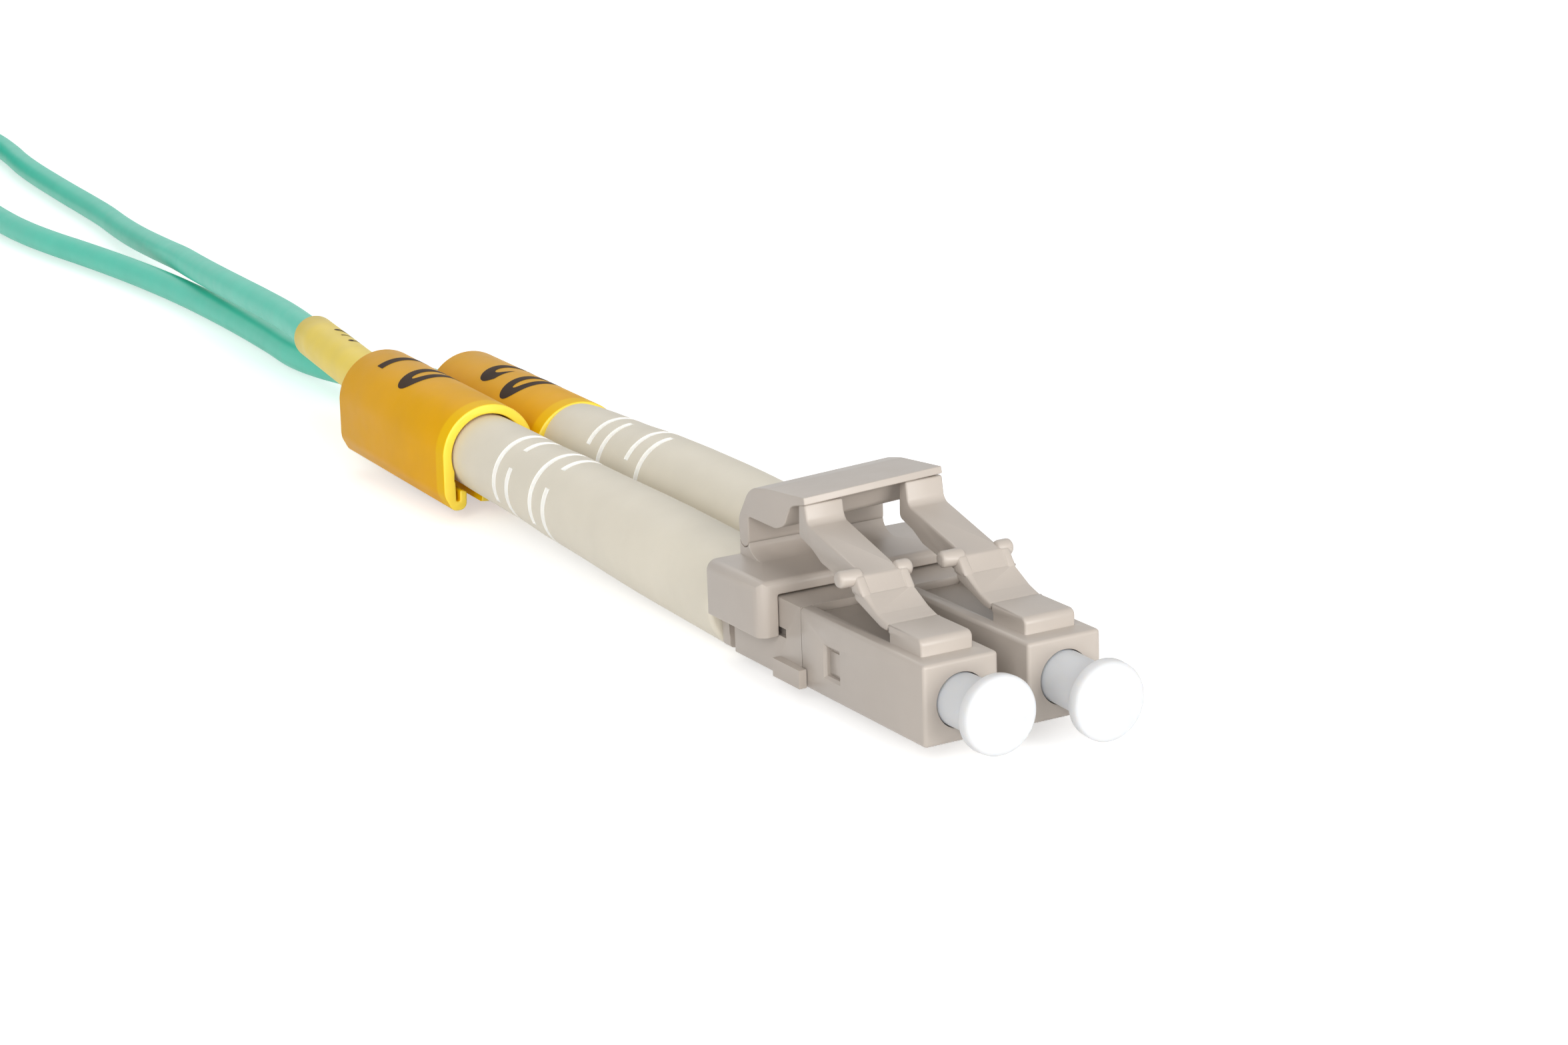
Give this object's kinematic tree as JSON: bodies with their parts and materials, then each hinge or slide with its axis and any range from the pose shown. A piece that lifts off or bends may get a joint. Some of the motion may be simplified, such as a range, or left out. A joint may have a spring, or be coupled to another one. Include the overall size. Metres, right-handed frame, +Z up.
{
  "type": "fiber optic patch cord",
  "caption": "Duplex fibre patch cord with square push plugs, a trigger clip, boots, clip-on markers and a thin two-leg cord folded in a hank.",
  "frame": {"origin": "under the middle of the near plug pair, on the surface that it lies on, halfway along it from the dust caps to the markers", "axes": "+Y from the plugs' fronts towards the cord, +Z up from the surface towards the latches, +X across the pair"},
  "size_m": [0.0219, 0.399, 0.0149],
  "materials": {
    "white": "smooth, slightly warm white",
    "cream": "matt cream",
    "amber": "translucent amber",
    "lemon": "heat-shrink, pale yellow",
    "aqua": "matt aqua jacket",
    "cap": "milky white",
    "zirconia": "polished white ceramic",
    "nickel": "nickel plated",
    "steel": "bright wire",
    "fibre": "white buffer",
    "black": "matt black hook tape"
  },
  "bodies": {
    "cord_set": {"boot_a": "cream", "boot_b": "cream", "buffered_fibre_a": "fibre", "buffered_fibre_b": "fibre", "cord_hank": "aqua", "cord_leg_a": "aqua", "cord_leg_b": "aqua", "cord_tie": "black", "crimp_sleeve_a": "nickel", "crimp_sleeve_b": "nickel", "duplex_clip": "white", "far_boot_a": "cream", "far_boot_b": "cream", "far_buffered_fibre_a": "fibre", "far_buffered_fibre_b": "fibre", "far_cord_leg_a": "aqua", "far_cord_leg_b": "aqua", "far_crimp_sleeve_a": "nickel", "far_crimp_sleeve_b": "nickel", "far_duplex_clip": "white", "far_ferrule_spring_a": "steel", "far_ferrule_spring_b": "steel", "far_front_housing_a": "white", "far_front_housing_b": "white", "far_marker_clip_a": "amber", "far_marker_clip_b": "amber", "far_rear_body_a": "white", "far_rear_body_b": "white", "ferrule_spring_a": "steel", "ferrule_spring_b": "steel", "front_housing_a": "white", "front_housing_b": "white", "leg_label": "lemon", "marker_clip_a": "amber", "marker_clip_b": "amber", "rear_body_a": "white", "rear_body_b": "white"},
    "trigger": {"trigger": "white"},
    "latch_arm_a": {"latch_arm_a": "white"},
    "ferrule_a": {"ferrule_a": "zirconia", "ferrule_holder_a": "nickel"},
    "dust_cap_a": {"dust_cap_a": "cap"},
    "latch_arm_b": {"latch_arm_b": "white"},
    "ferrule_b": {"ferrule_b": "zirconia", "ferrule_holder_b": "nickel"},
    "dust_cap_b": {"dust_cap_b": "cap"},
    "far_trigger": {"far_trigger": "white"},
    "far_latch_arm_a": {"far_latch_arm_a": "white"},
    "far_ferrule_a": {"far_ferrule_a": "zirconia", "far_ferrule_holder_a": "nickel"},
    "far_dust_cap_a": {"far_dust_cap_a": "cap"},
    "far_latch_arm_b": {"far_latch_arm_b": "white"},
    "far_ferrule_b": {"far_ferrule_b": "zirconia", "far_ferrule_holder_b": "nickel"},
    "far_dust_cap_b": {"far_dust_cap_b": "cap"}
  },
  "joints": [
    {"name": "trigger_press", "type": "hinge", "parent": "cord_set", "child": "trigger", "pos_m": [0, -0.01463, 0.00703], "axis": [1, 0, 0], "range_deg": [0, 10], "stiffness_Nm_per_rad": 0.02},
    {"name": "latch_flex_a", "type": "hinge", "parent": "cord_set", "child": "latch_arm_a", "pos_m": [-0.00313, -0.02953, 0.00588], "axis": [1, 0, 0], "range_deg": [-10, 0], "stiffness_Nm_per_rad": 0.005},
    {"name": "ferrule_float_a", "type": "slide", "parent": "cord_set", "child": "ferrule_a", "axis": [0, 1, 0], "range_m": [0, 0.0008], "stiffness_N_per_m": 200, "deforming": ["ferrule_spring_a"]},
    {"name": "dust_cap_pull_a", "type": "slide", "parent": "cord_set", "child": "dust_cap_a", "axis": [0, -1, 0], "range_m": [0, 0.012]},
    {"name": "latch_flex_b", "type": "hinge", "parent": "cord_set", "child": "latch_arm_b", "pos_m": [0.00313, -0.02953, 0.00588], "axis": [1, 0, 0], "range_deg": [-10, 0], "stiffness_Nm_per_rad": 0.005},
    {"name": "ferrule_float_b", "type": "slide", "parent": "cord_set", "child": "ferrule_b", "axis": [0, 1, 0], "range_m": [0, 0.0008], "stiffness_N_per_m": 200, "deforming": ["ferrule_spring_b"]},
    {"name": "dust_cap_pull_b", "type": "slide", "parent": "cord_set", "child": "dust_cap_b", "axis": [0, -1, 0], "range_m": [0, 0.012]},
    {"name": "far_trigger_press", "type": "hinge", "parent": "cord_set", "child": "far_trigger", "pos_m": [0.0043, 0.33817, 0.00703], "axis": [-1, 0, 0], "range_deg": [0, 10], "stiffness_Nm_per_rad": 0.02},
    {"name": "far_latch_flex_a", "type": "hinge", "parent": "cord_set", "child": "far_latch_arm_a", "pos_m": [0.00743, 0.35307, 0.00588], "axis": [-1, 0, 0], "range_deg": [-10, 0], "stiffness_Nm_per_rad": 0.005},
    {"name": "far_ferrule_float_a", "type": "slide", "parent": "cord_set", "child": "far_ferrule_a", "axis": [0, -1, 0], "range_m": [0, 0.0008], "stiffness_N_per_m": 200, "deforming": ["far_ferrule_spring_a"]},
    {"name": "far_dust_cap_pull_a", "type": "slide", "parent": "cord_set", "child": "far_dust_cap_a", "axis": [0, 1, 0], "range_m": [0, 0.012]},
    {"name": "far_latch_flex_b", "type": "hinge", "parent": "cord_set", "child": "far_latch_arm_b", "pos_m": [0.00118, 0.35307, 0.00588], "axis": [-1, 0, 0], "range_deg": [-10, 0], "stiffness_Nm_per_rad": 0.005},
    {"name": "far_ferrule_float_b", "type": "slide", "parent": "cord_set", "child": "far_ferrule_b", "axis": [0, -1, 0], "range_m": [0, 0.0008], "stiffness_N_per_m": 200, "deforming": ["far_ferrule_spring_b"]},
    {"name": "far_dust_cap_pull_b", "type": "slide", "parent": "cord_set", "child": "far_dust_cap_b", "axis": [0, 1, 0], "range_m": [0, 0.012]}
  ],
  "couplings": [
    {"joint": "latch_flex_a", "follows": "trigger_press", "ratio": -1},
    {"joint": "latch_flex_b", "follows": "trigger_press", "ratio": -1},
    {"joint": "far_latch_flex_a", "follows": "far_trigger_press", "ratio": -1},
    {"joint": "far_latch_flex_b", "follows": "far_trigger_press", "ratio": -1}
  ]
}
